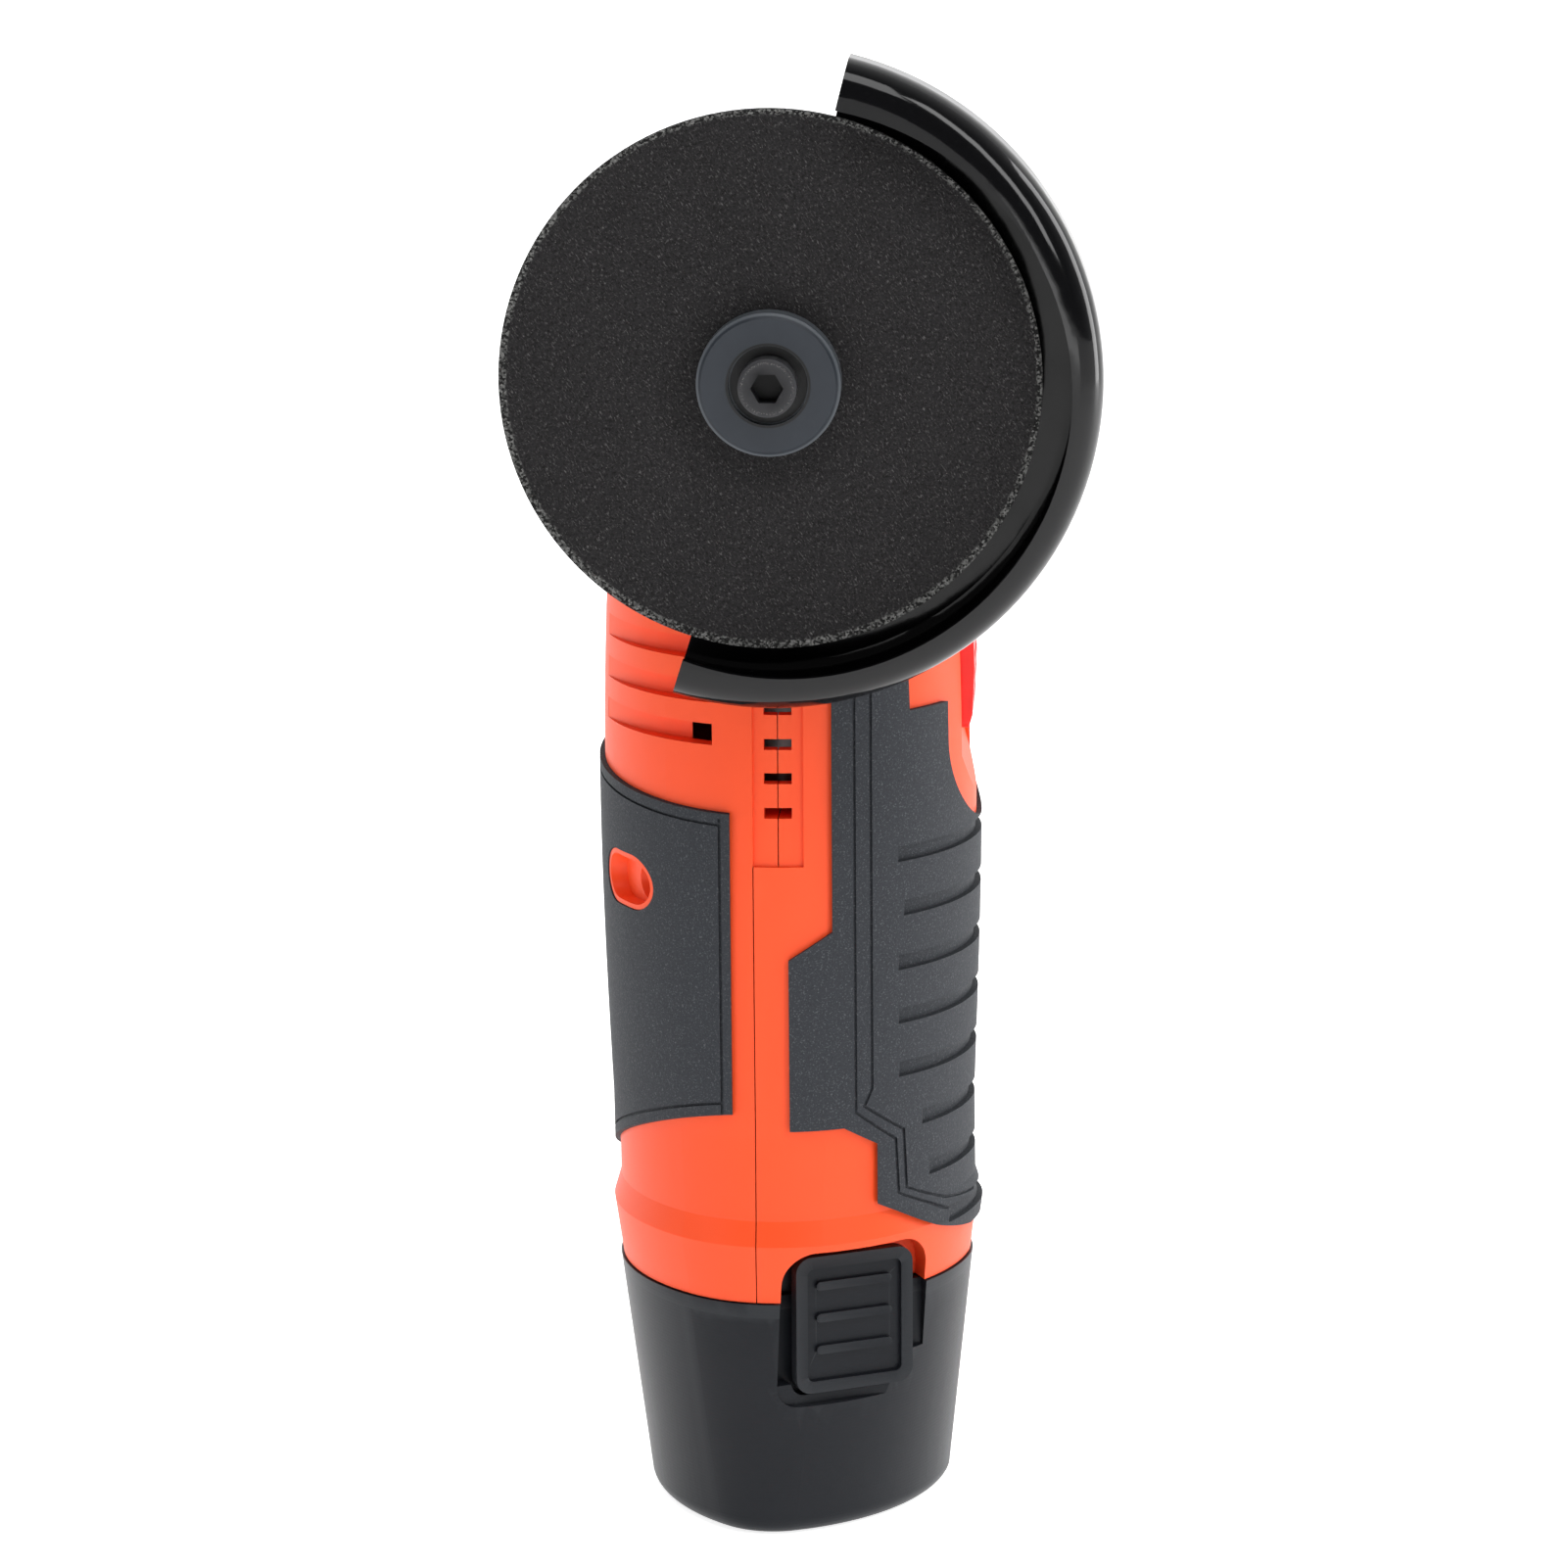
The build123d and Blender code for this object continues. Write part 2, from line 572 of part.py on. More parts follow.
with BuildPart() as gear_housing:
    lobed_prism(1.5, 24.6, HOUSING_TOP, 153.5)
    with BuildSketch(Plane.XY.offset(HOUSING_TOP)):
        with Locations((0, -9.5)):
            Rectangle(37, 19)
        Ellipse(18.5, 20.6)
    extrude(amount=47.0)
    slab(-FAR, FAR, -FAR, -19.0, 153.5, 200, mode=Mode.SUBTRACT)
    fillet(gear_housing.edges().group_by(Axis.Z)[-1], 4.0)
    slab(-19.5, 19.5, -19.0, -15.5, 156.0, 195.0)
    along_y(LOCK_Z, 7.4, 15.0, 23.0)
    # gear chamber, entered from the front, and the pinion's well
    along_y(SPINDLE_Z, 15.55, -20.0, 12.6, mode=Mode.SUBTRACT)
    along_z(0, 0, 9.0, 156.3, 170.0, mode=Mode.SUBTRACT)
    along_z(0, 0, 8.0, 149.0, 156.1, mode=Mode.SUBTRACT)
    along_z(0, 0, 4.9, 155.0, 158.0, mode=Mode.SUBTRACT)
    along_y(SPINDLE_Z, 8.05, 12.0, 17.2, mode=Mode.SUBTRACT)
    # spindle lock
    along_y(LOCK_Z, 1.85, 10.0, 24.0, mode=Mode.SUBTRACT)
    along_y(LOCK_Z, 4.0, 18.0, 24.0, mode=Mode.SUBTRACT)
    for x, dz in COVER_SCREWS:
        along_y(SPINDLE_Z + dz, 1.3, -20.0, -10.5, x=x, mode=Mode.SUBTRACT)
    for x, y in CASE_SCREWS:
        along_z(x, y, 1.5, 149.0, 154.0, mode=Mode.SUBTRACT)
        along_z(x, y, 2.8, 152.0, 160.0, mode=Mode.SUBTRACT)

with BuildPart() as gear_housing_screws:
    for x, y in CASE_SCREWS:
        along_z(x, y, 2.4, 152.0, 154.2)
        along_z(x, y, 1.25, 141.0, 152.0)
        with BuildSketch(Plane.XY.offset(154.2)):
            with Locations((x, y)):
                RegularPolygon(1.2, 6)
        extrude(amount=-1.3, mode=Mode.SUBTRACT)

NOSE_R = 17.0
with BuildPart() as bearing_cover:
    with BuildSketch(Plane.XZ.offset(19.0)):
        with Locations((0, SPINDLE_Z)):
            RectangleRounded(38.0, 38.0, 6.0)
    extrude(amount=3.0)
    along_y(SPINDLE_Z, 15.5, -19.0, -10.6)
    along_y(SPINDLE_Z, NOSE_R, -29.0, -22.0)
    along_y(SPINDLE_Z, 9.55, -17.0, -10.0, mode=Mode.SUBTRACT)
    along_y(SPINDLE_Z, 6.0, -30.0, -10.0, mode=Mode.SUBTRACT)
    for x, dz in COVER_SCREWS:
        along_y(SPINDLE_Z + dz, 1.5, -23.0, -18.0, x=x, mode=Mode.SUBTRACT)
        along_y(SPINDLE_Z + dz, 2.6, -23.0, -20.4, x=x, mode=Mode.SUBTRACT)

with BuildPart() as bearing_cover_screws:
    for x, dz in COVER_SCREWS:
        along_y(SPINDLE_Z + dz, 2.4, -22.2, -20.4, x=x)
        along_y(SPINDLE_Z + dz, 1.25, -20.4, -11.0, x=x)
        with BuildSketch(Plane.XZ.offset(22.2)):
            with Locations((x, SPINDLE_Z + dz)):
                RegularPolygon(1.2, 6)
        extrude(amount=-1.2, mode=Mode.SUBTRACT)

TURN_TO_Y = Rot(90, 0, 0)
spindle_front_bearing = Pos(0, -14.0, SPINDLE_Z) * TURN_TO_Y * ball_bearing(5.04, 9.5, 5.8)
spindle_rear_bearing = Pos(0, 15.0, SPINDLE_Z) * TURN_TO_Y * ball_bearing(4.04, 8.0, 4.2)

# ---- spindle, disc and its clamping ---------------------------------------
with BuildPart() as spindle:
    along_y(SPINDLE_Z, 4.0, 0.0, 16.8)
    along_y(SPINDLE_Z, 5.0, -34.0, 2.0)
    along_y(SPINDLE_Z, 5.8, 0.5, 3.9)
    along_y(SPINDLE_Z, 4.95, -38.6, -34.0)
    along_y(SPINDLE_Z, 2.5, -39.0, -22.0, mode=Mode.SUBTRACT)
    along_y(SPINDLE_Z, 5.2, -10.4, -9.6, mode=Mode.SUBTRACT)
    along_y(SPINDLE_Z, 4.5, -10.5, -9.5)
    chamfer(spindle.edges().group_by(Axis.Y)[-1], 0.5)

with BuildPart() as spindle_circlip:
    with BuildSketch(Plane.XZ.offset(9.7)):
        with Locations((0, SPINDLE_Z)):
            Circle(6.6)
            Circle(4.55, mode=Mode.SUBTRACT)
            with Locations((0, -5.5)):
                Rectangle(3.0, 4.0, mode=Mode.SUBTRACT)
    extrude(amount=0.6)

with BuildPart() as inner_flange:
    along_y(SPINDLE_Z, 7.6, -34.2, -30.8)
    along_y(SPINDLE_Z, 10.0, DISC_FRONT + DISC_T, -34.2)
    along_y(SPINDLE_Z, 8.4, DISC_FRONT, -37.2, mode=Mode.SUBTRACT)
    along_y(SPINDLE_Z, 5.05, -40.0, -30.0, mode=Mode.SUBTRACT)

with BuildPart() as cutting_disc:
    along_y(SPINDLE_Z, DISC_R, DISC_FRONT, DISC_FRONT + DISC_T)
    along_y(SPINDLE_Z, 5.0, -40.0, -36.0, mode=Mode.SUBTRACT)

with BuildPart() as outer_flange:
    along_y(SPINDLE_Z, 10.1, -42.8, DISC_FRONT)
    chamfer(outer_flange.edges().group_by(Axis.Y)[0], 0.7)
    along_y(SPINDLE_Z, 5.6, -43.0, -41.3, mode=Mode.SUBTRACT)
    along_y(SPINDLE_Z, 2.6, -43.0, -38.0, mode=Mode.SUBTRACT)

with BuildPart() as flange_screw:
    along_y(SPINDLE_Z, 4.1, -45.5, -41.3)
    chamfer(flange_screw.edges().group_by(Axis.Y)[0], 0.4)
    along_y(SPINDLE_Z, 2.45, -41.3, -24.0)
    with BuildSketch(Plane.XZ.offset(45.5)):
        with Locations((0, SPINDLE_Z)):
            RegularPolygon(2.3, 6)
    extrude(amount=-2.8, mode=Mode.SUBTRACT)

# ---- wheel guard ----------------------------------------------------------
GUARD_R = 46.5
GUARD_START = 76.0       # one end, measured from +X towards +Z
GUARD_SWEEP = 183.5      # the sheet sweeps down the +X side from there
SHEET = 1.4
GUARD_BACK = -29.3
GUARD_FRONT = -43.8
a = radians(GUARD_START)
profile_plane = Plane(origin=(0, 0, SPINDLE_Z), x_dir=(cos(a), 0, sin(a)), z_dir=(-sin(a), 0, cos(a)))
SPINDLE_AXIS = Axis((0, 0, SPINDLE_Z), (0, 1, 0))

GUARD_DEPTH = GUARD_BACK - GUARD_FRONT
GUARD_MID = (GUARD_BACK + GUARD_FRONT) / 2

with BuildPart() as wheel_guard:
    with BuildSketch(profile_plane):
        # rolled channel, opened towards the spindle
        with Locations((GUARD_R - 15.0, GUARD_MID)):
            RectangleRounded(30.0, GUARD_DEPTH, 5.0)
        with Locations((GUARD_R - 15.0, GUARD_MID)):
            RectangleRounded(30.0 - 2 * SHEET, GUARD_DEPTH - 2 * SHEET, 5.0 - SHEET, mode=Mode.SUBTRACT)
        with Locations((25.0, GUARD_MID)):
            Rectangle(29.0, GUARD_DEPTH + 1, mode=Mode.SUBTRACT)
        # back plate down to the hub
        with Locations((30.0, GUARD_BACK - SHEET / 2)):
            Rectangle(20.0, SHEET)
    revolve(axis=SPINDLE_AXIS, revolution_arc=GUARD_SWEEP)
    # the front lip is narrowest beside the disc
    along_y(SPINDLE_Z - 1.2, 40.2, -48.0, -40.0, x=2.0, mode=Mode.SUBTRACT)
    # hub ring and the collar that turns on the gear case's nose
    along_y(SPINDLE_Z, 23.0, GUARD_BACK - SHEET, GUARD_BACK)
    along_y(SPINDLE_Z, 18.6, GUARD_BACK - SHEET, -23.4)
    along_y(SPINDLE_Z, NOSE_R + 0.06, -32.0, -22.0, mode=Mode.SUBTRACT)

with BuildPart() as guard_clamp_band:
    along_y(SPINDLE_Z, 19.9, -28.2, -24.0)
    slab(-5.6, 5.6, -28.2, -24.0, SPINDLE_Z + 17.0, SPINDLE_Z + 26.0)
    along_y(SPINDLE_Z, 18.6, -30.0, -22.0, mode=Mode.SUBTRACT)
    slab(-1.6, 1.6, -30.0, -22.0, SPINDLE_Z + 10.0, SPINDLE_Z + 30.0, mode=Mode.SUBTRACT)
    along_x(-26.1, SPINDLE_Z + 22.8, 1.35, -10, 10, mode=Mode.SUBTRACT)

with BuildPart() as guard_clamp_screw:
    along_x(-26.1, SPINDLE_Z + 22.8, 1.3, -7.6, 5.6)
    along_x(-26.1, SPINDLE_Z + 22.8, 2.0, 5.6, 8.0)
    with BuildSketch(Plane.YZ.offset(-7.8)):
        with Locations((-26.1, SPINDLE_Z + 22.8)):
            RegularPolygon(2.1, 6)
    extrude(amount=2.2)
    with BuildSketch(Plane.YZ.offset(8.0)):
        with Locations((-26.1, SPINDLE_Z + 22.8)):
            RegularPolygon(1.1, 6)
    extrude(amount=-1.4, mode=Mode.SUBTRACT)

# ---- spindle lock ---------------------------------------------------------
with BuildPart() as spindle_lock_pin:
    along_y(LOCK_Z, 1.5, 12.5, 21.8)
    chamfer(spindle_lock_pin.edges().group_by(Axis.Y)[0], 0.3)

with BuildPart() as spindle_lock_button:
    along_y(LOCK_Z, 3.65, 21.4, 25.9)
    along_y(LOCK_Z, 5.4, 25.9, 28.8)
    fillet(spindle_lock_button.edges().group_by(Axis.Y)[-1], 1.0)
    along_y(LOCK_Z, 1.5, 20.0, 21.8, mode=Mode.SUBTRACT)

with BuildPart() as spindle_lock_spring:
    for y in (18.3, 18.8):
        with BuildSketch(Plane.YZ):
            with Locations((y, LOCK_Z + 2.8)):
                Circle(0.22)
        revolve(axis=Axis((0, 0, LOCK_Z), (0, 1, 0)))

# ---- battery pack ---------------------------------------------------------
BUTTON_LOW = 22.5
BUTTON_HIGH = 43.4
RECESS_FLOOR = 20.3
BUTTON_BACK = 21.9
BUTTON_FACE = 23.8
LEDGE = 22.8             # shallow step around the foot of the button
DECK_LOW = 34.9          # joint between the pack's cup and its deck

with BuildPart() as case_cavity:
    add(FORM_PACK_INNER)
    for azimuth in (LATCH_FRONT, LATCH_BACK):
        latch_block(azimuth, 14.0, 18.6, 40.0, 18.5, 40.0, mode=Mode.SUBTRACT)

with BuildPart() as battery_case:
    add(FORM_PACK)
    slab(-FAR, FAR, -FAR, FAR, DECK_LOW, 200, mode=Mode.SUBTRACT)
    fillet(battery_case.edges().group_by(Axis.Z)[0], 3.0)
    add(case_cavity.part, mode=Mode.SUBTRACT)
    for azimuth, side in ((LATCH_FRONT, 1), (LATCH_BACK, -1)):
        latch_block(azimuth, 12.2, 20.7, 60.0, LEDGE, 40.0, corner=3.0, mode=Mode.SUBTRACT)
        latch_block(azimuth, 9.8, 22.1, 60.0, RECESS_FLOOR, 40.0, corner=2.2, mode=Mode.SUBTRACT)
        latch_block(azimuth, 11.0, 24.0, 60.0, RECESS_FLOOR, 40.0, shift=-1.2 * side, mode=Mode.SUBTRACT)
        latch_block(azimuth, 11.0, 26.8, 60.0, RECESS_FLOOR, 40.0, shift=1.2 * side, mode=Mode.SUBTRACT)

with BuildPart() as battery_stem:
    add(FORM_PACK)
    slab(-FAR, FAR, -FAR, FAR, -1, DECK_LOW, mode=Mode.SUBTRACT)
    for azimuth in (LATCH_FRONT, LATCH_BACK):
        latch_block(azimuth, 12.2, 20.7, 60.0, RECESS_FLOOR, 40.0, mode=Mode.SUBTRACT)
    lobed_prism(CELL_SPREAD, STEM_R, DECK_LOW, STEM_TOP)
    fillet(battery_stem.edges().group_by(Axis.Z)[-1], 2.0)
    lobed_prism(CELL_SPREAD, CELL_R + 0.08, 34.0, 82.4, mode=Mode.SUBTRACT)
    for x in (-6.0, 0.0, 6.0):
        slab(x - 0.9, x + 0.9, -3.2, 3.2, 80.0, 90.0, mode=Mode.SUBTRACT)

with BuildPart() as battery_cells:
    for lobe in range(3):
        x, y = heading(FRONT_LOBE + 120 * lobe, CELL_SPREAD)
        along_z(x, y, CELL_R, 4.2, 68.4)
        along_z(x, y, 3.0, 68.4, 69.6)
    chamfer(battery_cells.edges().group_by(Axis.Z)[0], 0.6)

with BuildPart() as battery_board:
    lobed_prism(CELL_SPREAD, CELL_R - 0.3, 70.4, 72.0)

with BuildPart() as battery_contacts:
    for x in (-6.0, 0.0, 6.0):
        slab(x - 1.3, x - 0.75, -2.2, 2.2, 72.0, 81.0)
        slab(x + 0.75, x + 1.3, -2.2, 2.2, 72.0, 81.0)
        slab(x - 1.3, x + 1.3, -2.2, 2.2, 72.0, 72.6)


def release_button(azimuth):
    """Flat release button: bordered panel with three raised ribs."""
    with BuildPart() as button:
        latch_block(azimuth, 9.3, BUTTON_LOW, BUTTON_HIGH, BUTTON_BACK, BUTTON_FACE, corner=2.4)
        latch_block(
            azimuth, 7.5, BUTTON_LOW + 1.8, BUTTON_HIGH - 1.8, BUTTON_FACE - 0.8, 30.0,
            corner=1.0, mode=Mode.SUBTRACT,
        )
        for height in (29.0, 33.9, 38.8):
            latch_block(azimuth, 6.0, height - 0.65, height + 0.65, BUTTON_BACK, BUTTON_FACE - 0.1, corner=0.6)
    return button.part


latch_button_front = release_button(LATCH_FRONT)
latch_button_back = release_button(LATCH_BACK)

# ---- files ----------------------------------------------------------------
save(left_shell, "left_housing_shell")
save(right_shell, "right_housing_shell")
save(left_grip.part, "left_grip")
save(right_grip.part, "right_grip")
save(housing_screws.part, "housing_screws")
save(switch_knob.part, "slide_switch_knob")
save(switch_rod.part, "switch_rod")
save(power_switch.part, "power_switch")
save(control_board.part, "control_board")
save(terminal_block.part, "terminal_block")
save(motor_can.part, "motor_can")
save(stator_core.part, "stator_core")
save(stator_coils.part, "stator_coils")
save(motor_end_cap.part, "motor_end_cap")
save(motor_rear_bearing, "motor_rear_bearing")
save(motor_front_bearing, "motor_front_bearing")
save(motor_shaft.part, "motor_shaft")
save(rotor_core.part, "rotor_core")
save(rotor_magnets.part, "rotor_magnets")
save(cooling_fan.part, "cooling_fan")
save(pinion_gear, "pinion_gear")
save(driven_gear.part, "driven_gear")
save(gear_housing.part, "gear_housing")
save(gear_housing_screws.part, "gear_housing_screws")
save(bearing_cover.part, "bearing_cover")
save(bearing_cover_screws.part, "bearing_cover_screws")
save(spindle_front_bearing, "spindle_front_bearing")
save(spindle_rear_bearing, "spindle_rear_bearing")
save(spindle.part, "spindle")
save(spindle_circlip.part, "spindle_circlip")
save(inner_flange.part, "inner_flange")
save(cutting_disc.part, "cutting_disc")
save(outer_flange.part, "outer_flange")
save(flange_screw.part, "flange_screw")
save(wheel_guard.part, "wheel_guard")
save(guard_clamp_band.part, "guard_clamp_band")
save(guard_clamp_screw.part, "guard_clamp_screw")
save(spindle_lock_pin.part, "spindle_lock_pin")
save(spindle_lock_button.part, "spindle_lock_button")
save(spindle_lock_spring.part, "spindle_lock_spring")
save(battery_case.part, "battery_case")
save(battery_stem.part, "battery_stem")
save(battery_cells.part, "battery_cells")
save(battery_board.part, "battery_board")
save(battery_contacts.part, "battery_contacts")
save(latch_button_front, "latch_button_front")
save(latch_button_back, "latch_button_back")
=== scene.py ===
import json
import math

import bmesh
import bpy
from mathutils import Matrix, Vector


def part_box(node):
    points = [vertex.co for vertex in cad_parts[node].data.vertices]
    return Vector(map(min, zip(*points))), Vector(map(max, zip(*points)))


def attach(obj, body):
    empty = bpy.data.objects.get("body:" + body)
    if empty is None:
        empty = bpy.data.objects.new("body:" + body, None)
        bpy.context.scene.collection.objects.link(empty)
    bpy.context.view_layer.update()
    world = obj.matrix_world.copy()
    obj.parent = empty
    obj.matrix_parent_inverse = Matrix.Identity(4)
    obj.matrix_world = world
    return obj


# Compact battery angle grinder on a pale floor. Metres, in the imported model's frame:
# +Z up the body, -Y towards the disc, +X the side with the slide switch.

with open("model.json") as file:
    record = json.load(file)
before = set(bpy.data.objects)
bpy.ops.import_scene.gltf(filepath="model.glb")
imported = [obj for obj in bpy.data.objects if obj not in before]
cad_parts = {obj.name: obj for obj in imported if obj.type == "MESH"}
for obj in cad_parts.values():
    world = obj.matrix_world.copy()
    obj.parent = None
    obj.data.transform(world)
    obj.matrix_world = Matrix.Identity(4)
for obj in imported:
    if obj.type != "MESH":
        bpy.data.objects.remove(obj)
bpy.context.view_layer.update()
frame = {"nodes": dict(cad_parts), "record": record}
nodes = frame["nodes"]
scene = bpy.context.scene

MM = 0.001
disc_low, disc_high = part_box("cutting_disc")
SPINDLE = (disc_low + disc_high) / 2
DISC_R = (disc_high.x - disc_low.x) / 2
flange_low, flange_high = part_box("outer_flange")
FLANGE_R = (flange_high.x - flange_low.x) / 2


# ---- node helpers ---------------------------------------------------------
class Graph:
    """A material's node tree with short ways to add and join nodes.

    Texture scales are in cells per metre, and bump distances in metres.
    """

    def __init__(self, name):
        self.material = bpy.data.materials.new(name)
        self.material.use_nodes = True
        self.tree = self.material.node_tree
        self.shader = self.tree.nodes["Principled BSDF"]
        self.place = self.node("ShaderNodeTexCoord").outputs["Object"]

    def node(self, kind, **settings):
        made = self.tree.nodes.new(kind)
        for key, value in settings.items():
            setattr(made, key, value)
        return made

    def put(self, value, socket):
        """Join an output to a socket, or set the socket to a plain value."""
        if isinstance(value, bpy.types.NodeSocket):
            self.tree.links.new(value, socket)
        else:
            socket.default_value = value

    def set(self, **values):
        """Set the shader's inputs, with _ for each space in an input's name."""
        for key, value in values.items():
            self.put(value, self.shader.inputs[key.replace("_", " ")])

    def math(self, operation, a, b=0.0, clamp=False):
        made = self.node("ShaderNodeMath", operation=operation, use_clamp=clamp)
        self.put(a, made.inputs[0])
        self.put(b, made.inputs[1])
        return made.outputs[0]

    def noise(self, scale, detail=3.0, rough=0.5, vector=None):
        made = self.node("ShaderNodeTexNoise")
        self.put(vector or self.place, made.inputs["Vector"])
        made.inputs["Scale"].default_value = scale
        made.inputs["Detail"].default_value = detail
        made.inputs["Roughness"].default_value = rough
        return made.outputs["Fac"]

    def cells(self, scale, output="Distance"):
        made = self.node("ShaderNodeTexVoronoi")
        self.put(self.place, made.inputs["Vector"])
        made.inputs["Scale"].default_value = scale
        return made.outputs[output]

    def stretch(self, scale, lean=0.0):
        """Object position leaned about Y by degrees, then scaled along each axis."""
        turned = self.node("ShaderNodeMapping")
        self.put(self.place, turned.inputs["Vector"])
        turned.inputs["Rotation"].default_value = (0, math.radians(lean), 0)
        made = self.node("ShaderNodeMapping")
        self.put(turned.outputs[0], made.inputs["Vector"])
        made.inputs["Scale"].default_value = scale
        return made.outputs[0]

    def remap(self, value, side, low, high):
        """Clamped map range with its From or its To end set, and 0..1 at the other."""
        made = self.node("ShaderNodeMapRange", clamp=True)
        self.put(value, made.inputs["Value"])
        made.inputs[side + " Min"].default_value = low
        made.inputs[side + " Max"].default_value = high
        return made.outputs[0]

    def fade(self, value, low, high):
        """0 at low and beyond it, 1 at high and beyond it; low may be the larger."""
        return self.remap(value, "From", low, high)

    def spread(self, value, low, high):
        """Takes 0..1 to low..high."""
        return self.remap(value, "To", low, high)

    def blend(self, fac, a, b):
        """Colour a where fac is 0 and b where it is 1."""
        made = self.node("ShaderNodeMix", data_type="RGBA")
        self.put(fac, made.inputs["Factor"])
        for value, side in ((a, "A"), (b, "B")):
            plain = not isinstance(value, bpy.types.NodeSocket)
            self.put((*value, 1) if plain else value, made.inputs[side])
        return made.outputs["Result"]

    def bump(self, height, strength, distance, under=None):
        made = self.node("ShaderNodeBump")
        self.put(height, made.inputs["Height"])
        made.inputs["Strength"].default_value = strength
        made.inputs["Distance"].default_value = distance
        if under:
            self.put(under, made.inputs["Normal"])
        return made.outputs[0]

    def edges(self, low, high):
        """Mask of worn outer edges."""
        point = self.node("ShaderNodeNewGeometry").outputs["Pointiness"]
        return self.fade(point, low, high)

    def radius(self, centre):
        """Distance from an axis along Y through a centre."""
        shifted = self.node("ShaderNodeVectorMath", operation="SUBTRACT")
        self.put(self.place, shifted.inputs[0])
        shifted.inputs[1].default_value = centre
        flat = self.node("ShaderNodeVectorMath", operation="MULTIPLY")
        self.put(shifted.outputs[0], flat.inputs[0])
        flat.inputs[1].default_value = (1, 0, 1)
        length = self.node("ShaderNodeVectorMath", operation="LENGTH")
        self.put(flat.outputs[0], length.inputs[0])
        return length.outputs["Value"]

    def ring(self, distance, low, high, soft):
        """1 between two distances, with edges that fade over soft to each side."""
        inner = self.fade(distance, low - soft, low + soft)
        outer = self.fade(distance, high - soft, high + soft)
        return self.math("SUBTRACT", inner, outer, clamp=True)


def darker(colour, share):
    return tuple(c * share for c in colour)


# ---- materials ------------------------------------------------------------
# Pointiness where wear starts and where it is full.
MOULDED_EDGE = (0.53, 0.62)
METAL_EDGE = (0.52, 0.60)
SCREW_EDGE = (0.52, 0.62)


def moulded(name, colour, dark, rough=(0.4, 0.5)):
    """Textured moulded plastic: faint colour drift, spark grain, paler worn edges."""
    g = Graph(name)
    base = g.blend(g.spread(g.noise(45, 4), 0.0, 0.35), colour, dark)
    pale = tuple(min(1.0, c * 1.25 + 0.03) for c in colour)
    worn = g.math("MULTIPLY", g.edges(*MOULDED_EDGE), g.noise(900, 2))
    base = g.blend(g.math("MULTIPLY", worn, 0.12), base, pale)
    grain = g.noise(2600, 5, 0.6)
    ripple = g.bump(g.noise(220, 2), 0.12, 0.1 * MM)
    g.set(Base_Color=base, Roughness=g.spread(grain, *rough))
    g.set(Specular_IOR_Level=0.28, Normal=g.bump(grain, 0.5, 0.03 * MM, ripple))
    return g.material


def speckled_rubber(name, colour, light):
    """Matt overmould with fine pale specks, painted shade in its pits and a pebbled
    surface.
    """
    g = Graph(name)
    specks = g.fade(g.noise(3600, 3, 0.75), 0.56, 0.68)
    pits_painted_shade = g.fade(g.noise(2700, 3, 0.7), 0.46, 0.34)
    base = g.blend(g.spread(g.noise(60, 3), 0.0, 0.5), colour, darker(colour, 0.78))
    # Painted shade: the pits are coloured half as bright.
    base = g.blend(g.math("MULTIPLY", pits_painted_shade, 0.45), base, darker(colour, 0.5))
    base = g.blend(g.math("MULTIPLY", specks, 0.6), base, light)
    ripple = g.bump(g.noise(400, 3), 0.15, 0.1 * MM)
    g.set(Base_Color=base, Roughness=g.spread(g.noise(1500, 3), 0.58, 0.76))
    g.set(Specular_IOR_Level=0.22)
    g.set(Normal=g.bump(g.cells(2300), 0.5, 0.06 * MM, ripple))
    return g.material


def gloss_paint(name, colour):
    """Glossy black paint over pressed sheet: slight orange peel and waviness."""
    g = Graph(name)
    dust = g.fade(g.noise(1600, 4, 0.7), 0.6, 0.8)
    g.set(Base_Color=g.blend(g.math("MULTIPLY", dust, 0.02), colour, (0.4, 0.4, 0.4)))
    g.set(Roughness=g.spread(g.noise(350, 4), 0.06, 0.13), Specular_IOR_Level=0.3)
    peel = g.bump(g.noise(420, 2), 0.04, 0.2 * MM)
    g.set(Normal=g.bump(g.noise(60, 2), 0.16, 2 * MM, peel))
    return g.material


FIBRE_LEAN = -56  # degrees
THREAD_LEAN = 32
RIM_GRAINS = 3600
# The gritty rim is a hair off centre, starts between these distances in from the
# disc's edge, and its start wanders by this much.
RIM_OFF_CENTRE = Vector((0.12, 0, 0.20)) * MM
RIM_INSET = (0.75 * MM, 0.45 * MM)
RIM_WANDER = 0.6 * MM


def fibre_face(g, strokes, patches, hollow_painted_shade):
    """Colour of the disc's face: dark resin with slanted fibres, a few sparkles and
    painted shade in its hollows.
    """
    cross = g.noise(1.0, 2, 0.5, g.stretch((2300, 2300, 6000), THREAD_LEAN))
    sparkle = g.fade(g.noise(4200, 2, 0.5), 0.68, 0.74)
    fibre = g.math("MULTIPLY", g.fade(strokes, 0.54, 0.72), patches)
    thread = g.fade(cross, 0.60, 0.76)
    face = g.blend(g.noise(220, 4), (0.012, 0.0115, 0.012), (0.019, 0.018, 0.019))
    for mask, share, colour in (
        # Painted shade: the hollows are coloured near black.
        (hollow_painted_shade, 0.8, (0.004, 0.004, 0.004)),
        (fibre, 0.8, (0.12, 0.115, 0.115)),
        (thread, 0.5, (0.07, 0.068, 0.068)),
        (sparkle, 0.6, (0.24, 0.23, 0.22)),
    ):
        face = g.blend(g.math("MULTIPLY", mask, share), face, colour)
    return face


